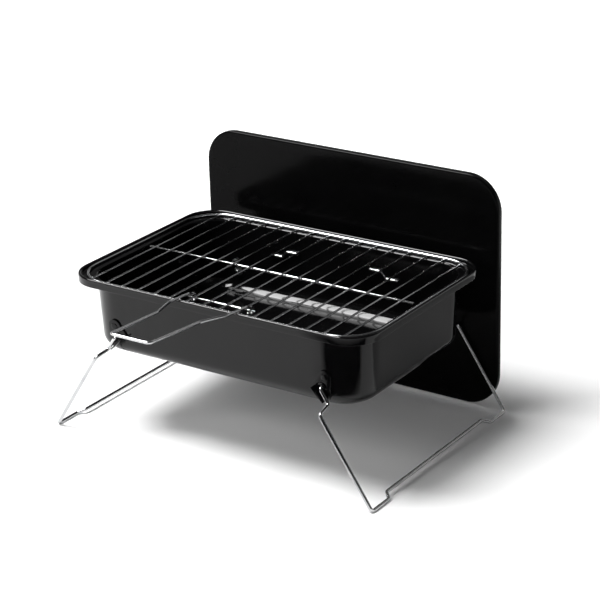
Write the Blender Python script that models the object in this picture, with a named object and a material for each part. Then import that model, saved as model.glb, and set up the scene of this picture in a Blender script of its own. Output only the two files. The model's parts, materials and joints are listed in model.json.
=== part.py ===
"""Folding camp grill: a steel fire bowl on two folding wire legs, with a wire grate and a loose lid.

The grill stands on z = 0. +X runs along the long side of the bowl, to its right end.
-Y is the front, where the grate's lifting handle reaches out over the rim.
The lid stands on its long edge behind the back feet. Units are metres.
"""
import math

import bmesh
import bpy
from mathutils import Matrix, Vector

# ---------------------------------------------------------------- driving dimensions
GAP = 0.0003                 # air left between two pieces that touch
CORNER_STEPS = 8             # segments in each rounded corner of a rectangle
WIRE_SIDES = 8
BEND_STEPS = 4

# Fire bowl, pressed from one sheet
RIM_HALF = (0.1750, 0.1186)  # outermost half length and half width
RIM_CORNER = 0.0331
CREST_Z = 0.1652
SKIRT_Z = 0.1568             # lower edge of the turned-down rim
SHEET = 0.0010
CREST_WIDTH = 0.0033
LEDGE_Z = 0.1608             # shelf that the grate rests on
WALL_INSET = 0.0115          # outside of the wall, in from the rim, at the height of SKIRT_Z
WALL_CORNER = 0.0396
WALL_DRAFT = 0.050           # inward lean of the wall, metres per metre
BOWL_BOTTOM_Z = 0.0838
BOWL_FILLET = 0.0156

# Grate
FRAME_WIRE_R = 0.0014
FRAME_INSET = 0.0054         # centre of the outer wire, in from the rim's outside
FRAME_CORNER = 0.0388
BAR_R = 0.0010
BAR_COUNT = 16
BAR_PITCH = 0.01975
ROD_R = 0.00115
CROSS_ROD_HALF = 0.1590
PIVOT_ROD_HALF = 0.0400
PIVOT_ROD_Y = -0.0940

# Lifting handle, measured outward from its pivot
HANDLE_WIRE_R = 0.0014
HANDLE_EYE_R = 0.0039        # centre line of the eye that is curled round the pivot rod
HANDLE_OFFSET = 0.0057       # height of the straight wires over the pivot, which clears the rim
HANDLE_STEP = (0.0015, 0.0070)  # start and end of the step from the eye up to that height
HANDLE_RISE = math.radians(4.0)
HANDLE_ROOT_HALF = 0.0340
HANDLE_NECK_HALF = 0.0244
HANDLE_GRIP_HALF = 0.0225
HANDLE_SHOULDER = 0.0380     # where the wires start to close in
HANDLE_NECK = 0.0685         # where they have closed in
HANDLE_LENGTH = 0.1420

# Folding legs
LEG_WIRE_R = 0.0018
LEG_PIVOT = (0.1219, 0.1049) # x and z of the hinge line
LEG_FOOT_X = 0.1893
LEG_INNER_Y = 0.1099         # beside the bowl wall
LEG_OUTER_Y = 0.1283         # outside the rim and the lid
LEG_STEP = (0.0175, 0.0210)  # start and end of the step between them, along the leg
LEG_PIN_Y = 0.0990           # inner end of the hinge pin
FOOT_LENGTH = 0.0300         # part of the cross piece that stands on the ground
FOOT_KINK = 0.0065           # length of the bend up to the raised middle part
FOOT_LIFT = (-0.0065, 0.0029)  # x and z from the foot to the raised middle part

# Leg brackets, given on the bowl's right front wall: x outward, z up
PLATE = 0.0012
LOBE = (0.1250, 0.1148)
LOBE_R = 0.0072
BRACKET_SHOULDER = (0.1100, 0.1070)
FLANGE_TOP = (0.1128, 0.1046)
FLANGE_FOOT = (0.1262, 0.0916)
BRACKET_TOE = (0.1305, 0.0930)
FLANGE_DEPTH = 0.0085
SCREW_R = 0.0020
HEAD_R = 0.0038
HEAD_HEIGHT = 0.0009
NUT_ACROSS_CORNERS = 0.0077
NUT_HEIGHT = 0.0030
NUT_GAP = 0.0009             # the wall starts to curve into its corner behind the nut
HOLE_CLEARANCE = 0.00035
RETAINER_R = 0.0050
RETAINER_THICK = 0.0012

# Wire clips inside the back wall; the line holds (|x|, z) of its corners
CLIP_R = 0.0013
CLIP_LINE = ((0.0435, 0.1382), (0.0585, 0.1382), (0.0640, 0.1316), (0.0785, 0.1316))
CLIP_BEND = 0.0025
CLIP_CLEARANCE = 0.0001

# Lid
LID_HALF = (0.1801, 0.1245)
LID_CORNER = 0.0369
LID_DEPTH = 0.0070
LID_EDGE = 0.0022            # rounding of its outer edge
LID_X = -0.0016
LID_FRONT_Y = 0.1336
LID_YAW = math.radians(-0.7)


# ---------------------------------------------------------------- materials
def make_material(name, colour, roughness, metallic):
    material = bpy.data.materials.new(name)
    material.use_nodes = True
    shader = material.node_tree.nodes["Principled BSDF"]
    shader.inputs["Base Color"].default_value = (*colour, 1.0)
    shader.inputs["Roughness"].default_value = roughness
    shader.inputs["Metallic"].default_value = metallic
    return material


# ---------------------------------------------------------------- mesh helpers
def make_object(name, bm, material, parent, smooth_angle=40.0):
    """Turn a bmesh into an object with outward faces and sharp edges kept sharp."""
    bmesh.ops.recalc_face_normals(bm, faces=bm.faces)
    mesh = bpy.data.meshes.new(name)
    bm.to_mesh(mesh)
    bm.free()
    mesh.shade_smooth()
    mesh.set_sharp_from_angle(angle=math.radians(smooth_angle))
    mesh.materials.append(material)
    obj = bpy.data.objects.new(name, mesh)
    bpy.context.scene.collection.objects.link(obj)
    obj.parent = parent
    return obj


def make_empty(name, location, parent=None):
    empty = bpy.data.objects.new(name, None)
    empty.location = location
    empty.parent = parent
    bpy.context.scene.collection.objects.link(empty)
    return empty


def boolean(target, tool, operation):
    """Cut or join a tool object; the tool itself is only a guide."""
    tool.hide_render = True
    tool.display_type = 'WIRE'
    modifier = target.modifiers.new(tool.name, 'BOOLEAN')
    modifier.operation = operation
    modifier.solver = 'EXACT'
    modifier.object = tool


def rounded_rectangle(half, corner, z, steps=CORNER_STEPS):
    """Points of a rounded rectangle at height z, counterclockwise from +X."""
    points = []
    signs = ((1, 1), (-1, 1), (-1, -1), (1, -1))
    for quarter, (sx, sy) in enumerate(signs):
        for step in range(steps + 1):
            angle = math.radians(90.0 * (quarter + step / steps))
            x = sx * (half[0] - corner) + corner * math.cos(angle)
            y = sy * (half[1] - corner) + corner * math.sin(angle)
            points.append(Vector((x, y, z)))
    return points


def skin_rings(rings, closed_loop=False, caps=True):
    """Join rings of equal point count into one surface."""
    bm = bmesh.new()
    loops = [[bm.verts.new(point) for point in ring] for ring in rings]
    pairs = list(zip(loops, loops[1:]))
    if closed_loop:
        pairs.append((loops[-1], loops[0]))
    for lower, upper in pairs:
        count = len(lower)
        for i in range(count):
            j = (i + 1) % count
            bm.faces.new((lower[i], lower[j], upper[j], upper[i]))
    if caps and not closed_loop:
        bm.faces.new(loops[0])
        bm.faces.new(loops[-1])
    return bm


def rounded_path(corners, radius, steps=BEND_STEPS):
    """Replace every inner corner of a polyline by an arc of the given bend radius."""
    path = [corners[0]]
    for before, corner, after in zip(corners, corners[1:], corners[2:]):
        back = (before - corner).normalized()
        ahead = (after - corner).normalized()
        half_angle = back.angle(ahead) / 2.0
        reach = radius / math.tan(half_angle)
        reach = min(reach, (before - corner).length * 0.45, (after - corner).length * 0.45)
        true_radius = reach * math.tan(half_angle)
        centre = corner + (back + ahead).normalized() * (true_radius / math.sin(half_angle))
        start = corner + back * reach - centre
        sweep = math.pi - 2.0 * half_angle
        axis = start.cross(corner + ahead * reach - centre).normalized()
        for step in range(steps + 1):
            turn = Matrix.Rotation(sweep * step / steps, 3, axis)
            path.append(centre + turn @ start)
    path.append(corners[-1])
    return path


def tube(path, radius, closed=False, sides=WIRE_SIDES):
    """Round wire along a path, with mitred rings carried along without twist."""
    count = len(path)
    tangents = []
    for i in range(count):
        ahead = path[(i + 1) % count] - path[i] if closed or i < count - 1 else None
        behind = path[i] - path[i - 1] if closed or i > 0 else None
        directions = [d.normalized() for d in (ahead, behind) if d is not None]
        tangents.append(sum(directions, Vector()).normalized())
    normal = tangents[0].orthogonal().normalized()
    if closed:
        normal = Vector((0.0, 0.0, 1.0))
    rings = []
    for i, tangent in enumerate(tangents):
        if i > 0:
            normal = tangents[i - 1].rotation_difference(tangent) @ normal
        normal = (normal - tangent * normal.dot(tangent)).normalized()
        side = tangent.cross(normal)
        ring = []
        for k in range(sides):
            angle = 2.0 * math.pi * (k + 0.5) / sides
            ring.append(path[i] + (normal * math.cos(angle) + side * math.sin(angle)) * radius)
        rings.append(ring)
    return skin_rings(rings, closed_loop=closed)


def cylinder(radius, length, steps=16):
    """Cylinder from the origin along +Z."""
    rings = []
    for z in (0.0, length):
        rings.append([Vector((radius * math.cos(2 * math.pi * k / steps),
                              radius * math.sin(2 * math.pi * k / steps), z)) for k in range(steps)])
    return skin_rings(rings)


def turned(profile, steps=16):
    """Solid of revolution about Z from (radius, z) pairs; the ends are capped."""
    rings = []
    for radius, z in profile:
        rings.append([Vector((radius * math.cos(2 * math.pi * k / steps),
                              radius * math.sin(2 * math.pi * k / steps), z)) for k in range(steps)])
    return skin_rings(rings)


def extruded(outline, depth):
    """Prism over a closed outline in the XZ plane, from y = 0 to y = -depth."""
    rings = [[Vector((x, y, z)) for x, z in outline] for y in (0.0, -depth)]
    return skin_rings(rings)


# ---------------------------------------------------------------- fire bowl
def wall_inset(z):
    """Outside of the wall at height z, in from the outermost line of the rim."""
    return WALL_INSET + WALL_DRAFT * (SKIRT_Z - z)


def bowl_ring(inset, z, corner):
    return rounded_rectangle((RIM_HALF[0] - inset, RIM_HALF[1] - inset), corner, z)


def wall_ring(inset, z):
    return bowl_ring(inset, z, WALL_CORNER - (inset - WALL_INSET))


def rim_ring(inset, z):
    return bowl_ring(inset, z, RIM_CORNER - inset)


def bowl_rings():
    """Cross-section of the bowl, outside upward, over the rim and down the inside."""
    fillet_z = BOWL_BOTTOM_Z + BOWL_FILLET
    base_inset = wall_inset(fillet_z)
    inner_fillet = BOWL_FILLET - SHEET
    under_ledge = LEDGE_Z - SHEET
    crest_r = CREST_WIDTH / 2.0
    fillet_angles = [math.radians(a) for a in (0, 22.5, 45, 67.5, 90)]
    rings = []
    for a in fillet_angles:
        inset = base_inset + BOWL_FILLET * (1.0 - math.sin(a))
        rings.append(wall_ring(inset, fillet_z - BOWL_FILLET * math.cos(a)))
    rings.append(wall_ring(wall_inset(under_ledge - SHEET), under_ledge - SHEET))
    rings.append(wall_ring(wall_inset(under_ledge) - SHEET, under_ledge))
    rings.append(rim_ring(CREST_WIDTH - SHEET, under_ledge))
    rings.append(rim_ring(CREST_WIDTH - SHEET, CREST_Z - 1.4 * SHEET))
    rings.append(rim_ring(SHEET, CREST_Z - 1.4 * SHEET))
    rings.append(rim_ring(SHEET, SKIRT_Z))
    rings.append(rim_ring(0.0, SKIRT_Z))
    for a in (0, 45, 90, 135, 180):
        turn = math.radians(a)
        rings.append(rim_ring(crest_r * (1.0 - math.cos(turn)), CREST_Z - crest_r * (1.0 - math.sin(turn))))
    rings.append(rim_ring(CREST_WIDTH, LEDGE_Z))
    rings.append(wall_ring(wall_inset(LEDGE_Z), LEDGE_Z))
    rings.append(wall_ring(wall_inset(LEDGE_Z) + SHEET, LEDGE_Z - SHEET))
    for a in reversed(fillet_angles):
        inset = base_inset + SHEET + inner_fillet * (1.0 - math.sin(a))
        rings.append(wall_ring(inset, fillet_z - inner_fillet * math.cos(a)))
    return rings


def make_bowl(material, frame):
    bowl = make_object("fire_bowl", skin_rings(bowl_rings()), material, frame)
    for side_x, side_y in CORNERS:
        drills = (("screw", LOBE, SCREW_R), ("pin", LEG_PIVOT, LEG_WIRE_R))
        for label, (x, z), radius in drills:
            drill = make_object(f"drill_{label}_{CORNERS[side_x, side_y]}",
                                cylinder(radius + HOLE_CLEARANCE, 0.020), material, frame)
            drill.location = (side_x * x, side_y * 0.095, z)
            drill.rotation_euler = (-side_y * math.pi / 2.0, 0.0, 0.0)
            boolean(bowl, drill, 'DIFFERENCE')


# ---------------------------------------------------------------- grate
FRAME_Z = LEDGE_Z + GAP + FRAME_WIRE_R
BAR_Z = LEDGE_Z + GAP + BAR_R
ROD_Z = BAR_Z - BAR_R - GAP - ROD_R
FRAME_HALF = (RIM_HALF[0] - FRAME_INSET, RIM_HALF[1] - FRAME_INSET)


def bar_reach(x):
    """Half length of a bar that ends just inside the outer wire, at a distance x from the middle."""
    clear = FRAME_WIRE_R + 1.5 * GAP
    corner = FRAME_CORNER - clear
    into_corner = max(abs(x) + BAR_R - (FRAME_HALF[0] - FRAME_CORNER), 0.0)
    return FRAME_HALF[1] - FRAME_CORNER + math.sqrt(corner ** 2 - into_corner ** 2)


def make_grate(material, frame):
    outline = rounded_rectangle(FRAME_HALF, FRAME_CORNER, FRAME_Z)
    make_object("grate_frame", tube(outline, FRAME_WIRE_R, closed=True), material, frame)
    for index in range(BAR_COUNT):
        x = (index - (BAR_COUNT - 1) / 2.0) * BAR_PITCH
        ends = [Vector((0.0, -bar_reach(x), 0.0)), Vector((0.0, bar_reach(x), 0.0))]
        bar = make_object(f"grate_bar_{index + 1:02d}", tube(ends, BAR_R), material, frame)
        bar.location = (x, 0.0, BAR_Z)
    for name, half_length, y in (("grate_cross_rod", CROSS_ROD_HALF, 0.0),
                                 ("handle_pivot_rod", PIVOT_ROD_HALF, PIVOT_ROD_Y)):
        ends = [Vector((-half_length, 0.0, 0.0)), Vector((half_length, 0.0, 0.0))]
        rod = make_object(name, tube(ends, ROD_R), material, frame)
        rod.location = (0.0, y, ROD_Z)


def eye_points(side):
    """Nearly three quarters of a turn round the pivot rod, ending at the top of the eye."""
    points = []
    for step in range(13):
        angle = math.radians(-170.0 + 260.0 * step / 12.0)
        points.append(Vector((side * HANDLE_ROOT_HALF, HANDLE_EYE_R * math.cos(angle),
                              HANDLE_EYE_R * math.sin(angle))))
    return points


def make_handle(material, frame):
    """U of wire, drawn flat along -Y from the pivot and then tilted up by its rise."""
    half_path = [Vector((HANDLE_ROOT_HALF, 0.0, HANDLE_EYE_R)),
                 Vector((HANDLE_ROOT_HALF, -HANDLE_STEP[0], HANDLE_EYE_R)),
                 Vector((HANDLE_ROOT_HALF, -HANDLE_STEP[1], HANDLE_OFFSET)),
                 Vector((HANDLE_ROOT_HALF, -HANDLE_SHOULDER, HANDLE_OFFSET)),
                 Vector((HANDLE_NECK_HALF, -HANDLE_NECK, HANDLE_OFFSET)),
                 Vector((HANDLE_GRIP_HALF, -HANDLE_LENGTH, HANDLE_OFFSET))]
    mirrored = [Vector((-p.x, p.y, p.z)) for p in reversed(half_path)]
    bends = rounded_path(half_path + mirrored, 0.0045)
    path = eye_points(1)[:-1] + bends + eye_points(-1)[-2::-1]
    handle = make_object("handle", tube(path, HANDLE_WIRE_R), material, frame)
    handle.location = (0.0, PIVOT_ROD_Y, ROD_Z)
    handle.rotation_euler = (-HANDLE_RISE, 0.0, 0.0)


# ---------------------------------------------------------------- legs
def leg_point(distance, y):
    """A point of the right leg, at a distance down the leg from its hinge line."""
    down = Vector((LEG_FOOT_X - LEG_PIVOT[0], 0.0, LEG_WIRE_R - LEG_PIVOT[1]))
    return down.normalized() * distance + Vector((0.0, y, 0.0))


def make_leg(name, side, material, frame):
    """U of wire with its hinge pins turned inward; side is +1 for the right leg."""
    foot = Vector((LEG_FOOT_X - LEG_PIVOT[0], -LEG_OUTER_Y, LEG_WIRE_R - LEG_PIVOT[1]))
    lift = Vector((FOOT_LIFT[0], 0.0, FOOT_LIFT[1]))
    kink_y = -LEG_OUTER_Y + FOOT_LENGTH
    half_path = [leg_point(0.0, -LEG_PIN_Y),
                 leg_point(0.0, -LEG_INNER_Y),
                 leg_point(LEG_STEP[0], -LEG_INNER_Y),
                 leg_point(LEG_STEP[1], -LEG_OUTER_Y),
                 foot,
                 Vector((foot.x, kink_y, foot.z)),
                 Vector((foot.x, kink_y + FOOT_KINK, foot.z)) + lift]
    mirrored = [Vector((p.x, -p.y, p.z)) for p in reversed(half_path)]
    path = rounded_path(half_path + mirrored, 0.0038)
    path = [Vector((side * p.x, p.y, p.z)) for p in path]
    leg = make_object(name, tube(path, LEG_WIRE_R), material, frame)
    leg.location = (side * LEG_PIVOT[0], 0.0, LEG_PIVOT[1])


# ---------------------------------------------------------------- brackets and fasteners
CORNERS = {(-1, -1): "front_left", (1, -1): "front_right", (-1, 1): "back_left", (1, 1): "back_right"}


def bracket_outline():
    """Plate outline, anticlockwise: toe, right flank, lobe, shoulder, along the flange."""
    outline = [BRACKET_TOE]
    for step in range(9):
        angle = math.radians(-10.0 + 165.0 * step / 8.0)
        outline.append((LOBE[0] + LOBE_R * math.cos(angle), LOBE[1] + LOBE_R * math.sin(angle)))
    outline += [BRACKET_SHOULDER, FLANGE_TOP, FLANGE_FOOT]
    return outline


def flange_outline():
    """Section of the bent-out stop, one plate thick."""
    along = Vector((FLANGE_FOOT[0] - FLANGE_TOP[0], FLANGE_FOOT[1] - FLANGE_TOP[1])).normalized()
    across = Vector((-along.y, along.x)) * PLATE
    corners = (FLANGE_TOP, FLANGE_FOOT)
    outer = [tuple(Vector(c)) for c in corners]
    inner = [tuple(Vector(c) + across) for c in reversed(corners)]
    return outer + inner


def mirrored_outline(outline, side_x):
    points = [(side_x * x, z) for x, z in outline]
    return points if side_x > 0 else points[::-1]


def wall_plane_y(z):
    """Distance from the centre plane to the outside of the long wall at height z."""
    return RIM_HALF[1] - wall_inset(z)


def make_corner(side_x, side_y, label, steel, zinc, frame):
    """Bracket, its screw and nut, and the push-on retainer of the hinge pin."""
    lean = math.atan(WALL_DRAFT)
    mount = make_empty(f"bracket_seat_{label}", (0.0, side_y * (wall_plane_y(LOBE[1]) + GAP), 0.0), frame)
    turn = Matrix.Translation((0.0, 0.0, LOBE[1])) @ Matrix.Rotation(lean, 4, 'X')
    turn = turn @ Matrix.Translation((0.0, 0.0, -LOBE[1]))
    if side_y > 0:
        turn = Matrix.Scale(-1.0, 4, (0.0, 1.0, 0.0)) @ turn

    def place(name, bm, material):
        bm.transform(turn)
        return make_object(name, bm, material, mount)

    plate = place(f"bracket_{label}", extruded(mirrored_outline(bracket_outline(), side_x), PLATE), steel)
    flange_bm = extruded(mirrored_outline(flange_outline(), side_x), FLANGE_DEPTH)
    boolean(plate, place(f"flange_{label}", flange_bm, steel), 'UNION')
    for tag, (x, z), radius in (("screw", LOBE, SCREW_R), ("pin", LEG_PIVOT, LEG_WIRE_R)):
        bm = cylinder(radius + HOLE_CLEARANCE, 0.010)
        bm.transform(Matrix.Translation((side_x * x, 0.005, z)) @ Matrix.Rotation(math.pi / 2.0, 4, 'X'))
        boolean(plate, place(f"bracket_drill_{tag}_{label}", bm, steel), 'DIFFERENCE')

    wall_depth = GAP + SHEET
    to_head = Matrix.Translation((side_x * LOBE[0], 0.0, LOBE[1])) @ Matrix.Rotation(math.pi / 2.0, 4, 'X')
    shank_start = -(wall_depth + NUT_HEIGHT + 0.0015)
    head_seat = PLATE + GAP
    screw = turned([(SCREW_R * 0.8, shank_start), (SCREW_R, shank_start + 0.0005), (SCREW_R, head_seat),
                    (HEAD_R, head_seat), (HEAD_R * 0.93, head_seat + HEAD_HEIGHT * 0.5),
                    (HEAD_R * 0.55, head_seat + HEAD_HEIGHT * 0.92), (HEAD_R * 0.1, head_seat + HEAD_HEIGHT)])
    screw.transform(to_head)
    place(f"screw_{label}", screw, steel)

    nut = cylinder(NUT_ACROSS_CORNERS / 2.0, NUT_HEIGHT, steps=6)
    nut.transform(to_head @ Matrix.Translation((0.0, 0.0, -(wall_depth + NUT_GAP + NUT_HEIGHT))))
    nut_object = place(f"nut_{label}", nut, zinc)
    bore = cylinder(SCREW_R + HOLE_CLEARANCE, 0.020)
    bore.transform(to_head @ Matrix.Translation((0.0, 0.0, -0.012)))
    boolean(nut_object, place(f"nut_bore_{label}", bore, zinc), 'DIFFERENCE')


def make_retainer(side_x, side_y, label, material, frame):
    """Push-on washer that keeps a hinge pin from sliding out of the wall."""
    ring = cylinder(RETAINER_R, RETAINER_THICK)
    washer = make_object(f"pin_retainer_{label}", ring, material, frame)
    inner_wall = wall_plane_y(LEG_PIVOT[1]) - SHEET
    tilt_room = RETAINER_R * WALL_DRAFT + GAP
    washer.location = (side_x * LEG_PIVOT[0], side_y * (inner_wall - tilt_room), LEG_PIVOT[1])
    washer.rotation_euler = (side_y * math.pi / 2.0, 0.0, 0.0)
    bore = make_object(f"retainer_bore_{label}", cylinder(LEG_WIRE_R + HOLE_CLEARANCE, 0.010), material, washer)
    bore.location = (0.0, 0.0, -0.005)
    boolean(washer, bore, 'DIFFERENCE')


def make_clip(name, side, material, frame):
    """Stepped wire clip lying on the inside of the back wall."""
    stand_off = SHEET + GAP + CLIP_CLEARANCE + CLIP_R
    corners = [Vector((side * x, wall_plane_y(z) - stand_off, z)) for x, z in CLIP_LINE]
    make_object(name, tube(rounded_path(corners, CLIP_BEND), CLIP_R), material, frame)


# ---------------------------------------------------------------- lid
def make_lid(material, frame):
    """Shallow pan on its long edge: outer face to the front, hollow to the back."""
    def ring(inset, depth):
        half = (LID_HALF[0] - inset, LID_HALF[1] - inset)
        flat = rounded_rectangle(half, LID_CORNER - inset, 0.0)
        return [Vector((p.x, depth, p.y + LID_HALF[1])) for p in flat]

    rings = []
    for a in (0, 30, 60, 90):
        turn = math.radians(a)
        rings.append(ring(LID_EDGE * (1.0 - math.sin(turn)), LID_EDGE * (1.0 - math.cos(turn))))
    rings.append(ring(0.0, LID_DEPTH))
    rings.append(ring(SHEET, LID_DEPTH))
    inner_edge = LID_EDGE - SHEET
    rings.append(ring(SHEET, SHEET + inner_edge))
    rings.append(ring(SHEET + inner_edge, SHEET))
    lid = make_object("lid", skin_rings(rings), material, frame)
    lid.location = (LID_X, LID_FRONT_Y, 0.0)
    lid.rotation_euler = (0.0, 0.0, LID_YAW)


# ---------------------------------------------------------------- assembly
def front_reach():
    """How far the handle's grip reaches forward of the bowl's centre."""
    along = HANDLE_LENGTH * math.cos(HANDLE_RISE) - HANDLE_OFFSET * math.sin(HANDLE_RISE)
    return -PIVOT_ROD_Y + along + HANDLE_WIRE_R


def back_reach():
    """How far the lid's rear edge reaches behind the bowl's centre."""
    return LID_FRONT_Y + LID_DEPTH * math.cos(LID_YAW) + LID_HALF[0] * math.sin(abs(LID_YAW))


def build():
    for obj in list(bpy.data.objects):
        bpy.data.objects.remove(obj)
    enamel = make_material("black_enamel", (0.012, 0.012, 0.013), 0.12, 0.0)
    lid_enamel = make_material("lid_enamel", (0.010, 0.010, 0.011), 0.16, 0.0)
    chrome = make_material("chromed_wire", (0.80, 0.80, 0.81), 0.14, 1.0)
    steel = make_material("blacked_steel", (0.018, 0.018, 0.019), 0.30, 0.0)
    zinc = make_material("zinc_steel", (0.55, 0.55, 0.56), 0.35, 1.0)

    frame = make_empty("grill", (0.0, (front_reach() - back_reach()) / 2.0, 0.0))
    make_bowl(enamel, frame)
    make_grate(chrome, frame)
    make_handle(chrome, frame)
    make_leg("leg_right", 1, chrome, frame)
    make_leg("leg_left", -1, chrome, frame)
    for (side_x, side_y), label in CORNERS.items():
        make_corner(side_x, side_y, label, steel, zinc, frame)
        make_retainer(side_x, side_y, label, zinc, frame)
    make_clip("back_clip_right", 1, chrome, frame)
    make_clip("back_clip_left", -1, chrome, frame)
    make_lid(lid_enamel, frame)


build()
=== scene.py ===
"""Looks of the folding camp grill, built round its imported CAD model.

Every CAD node is replaced by a finer piece of the same shape in the same place. The grill stands on
z = 0, +X runs to its right end and -Y is the front, where the handle reaches out. Units are metres.
"""
import json
import math

import bmesh
import bpy
from mathutils import Matrix, Vector, noise


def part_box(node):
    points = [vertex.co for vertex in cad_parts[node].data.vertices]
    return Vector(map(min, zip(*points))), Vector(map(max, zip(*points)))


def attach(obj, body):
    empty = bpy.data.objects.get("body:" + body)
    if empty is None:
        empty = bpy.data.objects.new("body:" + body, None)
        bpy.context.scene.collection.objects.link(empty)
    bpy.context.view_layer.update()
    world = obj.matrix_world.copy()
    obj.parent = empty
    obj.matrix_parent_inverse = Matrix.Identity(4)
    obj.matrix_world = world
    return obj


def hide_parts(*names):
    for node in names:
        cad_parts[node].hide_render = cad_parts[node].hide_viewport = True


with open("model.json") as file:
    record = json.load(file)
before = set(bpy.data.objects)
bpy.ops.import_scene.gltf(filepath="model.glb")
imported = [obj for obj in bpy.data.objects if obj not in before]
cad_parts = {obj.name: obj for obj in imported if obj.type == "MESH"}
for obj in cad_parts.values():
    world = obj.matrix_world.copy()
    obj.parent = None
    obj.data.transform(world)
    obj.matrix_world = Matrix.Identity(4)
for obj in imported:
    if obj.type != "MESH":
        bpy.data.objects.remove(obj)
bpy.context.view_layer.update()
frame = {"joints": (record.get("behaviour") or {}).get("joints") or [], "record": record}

# ---------------------------------------------------------------- read from the frame
RECORD = frame["record"]
JOINTS = {joint["name"]: joint for joint in frame["joints"]}
BODY_OF = {node: body for body, nodes in RECORD["behaviour"]["bodies"].items() for node in nodes}
SLOT_OF = {part["node"]: part["material_slot"] for part in RECORD["subparts"]}
BOWL_LOW, BOWL_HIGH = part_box("fire_bowl")
LID_FOOT_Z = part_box("lid")[0].z
CENTRE_Y = (BOWL_LOW.y + BOWL_HIGH.y) / 2.0
RIM_HALF = (BOWL_HIGH.x, (BOWL_HIGH.y - BOWL_LOW.y) / 2.0)
CREST_Z = BOWL_HIGH.z
BOWL_BOTTOM_Z = BOWL_LOW.z
LEG_PIVOT = (JOINTS["right_leg_fold"]["pos_m"][0], JOINTS["right_leg_fold"]["pos_m"][2])
HANDLE_PIVOT = Vector(JOINTS["handle_fold"]["pos_m"])

# ---------------------------------------------------------------- the design's own dimensions
GAP = 0.0003
SHEET = 0.0010
RIM_CORNER = 0.0331
SKIRT_DEPTH = 0.0084
CREST_WIDTH = 0.0033
LEDGE_DROP = 0.0044          # from the crest down to the shelf that the grate rests on
WALL_INSET = 0.0115
WALL_CORNER = 0.0396
WALL_DRAFT = 0.050
BOWL_FILLET = 0.0156
WAVER_SEED = 1               # without it the sheet's unevenness would differ from run to run
SKIRT_Z = CREST_Z - SKIRT_DEPTH
LEDGE_Z = CREST_Z - LEDGE_DROP

FRAME_WIRE_R = 0.0014
FRAME_INSET = 0.0054
FRAME_CORNER = 0.0388
BAR_R = 0.0010
BAR_COUNT = 16
ROD_R = 0.00115
FRAME_Z = LEDGE_Z + GAP + FRAME_WIRE_R

HANDLE_WIRE_R = 0.0014
HANDLE_EYE_R = 0.0039
HANDLE_OFFSET = 0.0057
HANDLE_STEP = (0.0015, 0.0070)
HANDLE_RISE = math.radians(4.0)
HANDLE_ROOT_HALF = 0.0340
HANDLE_NECK_HALF = 0.0244
HANDLE_GRIP_HALF = 0.0225
HANDLE_SHOULDER = 0.0380
HANDLE_NECK = 0.0685
HANDLE_LENGTH = 0.1420

LEG_WIRE_R = 0.0018
LEG_FOOT_X = 0.1893
LEG_INNER_Y = 0.1099
LEG_OUTER_Y = 0.1283
LEG_STEP = (0.0175, 0.0210)
LEG_PIN_Y = 0.0990
FOOT_LENGTH = 0.0300
FOOT_KINK = 0.0065
FOOT_LIFT = (-0.0065, 0.0029)
LEG_BEND = 0.0038

PLATE = 0.0012
LOBE = (0.1250, 0.1148)
LOBE_R = 0.0072
BRACKET_SHOULDER = (0.1100, 0.1070)
FLANGE_TOP = (0.1128, 0.1046)
FLANGE_FOOT = (0.1262, 0.0916)
BRACKET_TOE = (0.1305, 0.0930)
FLANGE_DEPTH = 0.0085
FLANGE_BEND = 0.0008         # inner radius of the bend
COLLAR_R = 0.0043            # drawn collar round the hinge pin
COLLAR_HEIGHT = 0.0011
SCREW_R = 0.0020
HEAD_R = 0.0038
HEAD_HEIGHT = 0.0009
NUT_R = 0.0077 / 2.0
NUT_HEIGHT = 0.0030
NUT_GAP = 0.0009
HOLE_CLEARANCE = 0.00035
RETAINER_R = 0.0050
RETAINER_THICK = 0.0012
CLIP_R = 0.0013
CLIP_LINE = ((0.0435, 0.1382), (0.0585, 0.1382), (0.0640, 0.1316), (0.0785, 0.1316))
CLIP_BEND = 0.0025
CLIP_CLEARANCE = 0.0001

LID_HALF = (0.1801, 0.1245)
LID_CORNER = 0.0369
LID_DEPTH = 0.0070
LID_EDGE = 0.0022
LID_PLACE = (-0.0016, CENTRE_Y + 0.1336)
LID_YAW = math.radians(-0.7)

CORNERS = {(-1, -1): "front_left", (1, -1): "front_right", (-1, 1): "back_left", (1, 1): "back_right"}


# ---------------------------------------------------------------- shader helpers
def new_material(name):
    """A material, its node tree's links and nodes, and its Principled shader."""
    material = bpy.data.materials.new(name)
    material.use_nodes = True
    nodes = material.node_tree.nodes
    return material, nodes, material.node_tree.links, nodes["Principled BSDF"]


def noise_node(nodes, links, scale, detail=2.0, stretch=None):
    """Noise over the object's own coordinates, which ride with it."""
    coordinates = nodes.new("ShaderNodeTexCoord")
    texture = nodes.new("ShaderNodeTexNoise")
    texture.inputs["Scale"].default_value = scale
    texture.inputs["Detail"].default_value = detail
    source = coordinates.outputs["Object"]
    if stretch is not None:
        mapping = nodes.new("ShaderNodeMapping")
        mapping.inputs["Scale"].default_value = stretch
        links.new(source, mapping.inputs["Vector"])
        source = mapping.outputs["Vector"]
    links.new(source, texture.inputs["Vector"])
    return texture.outputs["Fac"]


def ranged(nodes, links, value, low, high, start=0.3, end=0.7):
    """Map the middle of a noise value to a range."""
    node = nodes.new("ShaderNodeMapRange")
    node.inputs["From Min"].default_value = start
    node.inputs["From Max"].default_value = end
    node.inputs["To Min"].default_value = low
    node.inputs["To Max"].default_value = high
    links.new(value, node.inputs["Value"])
    return node.outputs["Result"]


def mixed(nodes, links, factor, colour_a, colour_b):
    """Blend two colours by a factor."""
    node = nodes.new("ShaderNodeMix")
    node.data_type = 'RGBA'
    node.inputs["A"].default_value = (*colour_a, 1.0)
    node.inputs["B"].default_value = (*colour_b, 1.0)
    links.new(factor, node.inputs["Factor"])
    return node.outputs["Result"]


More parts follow.
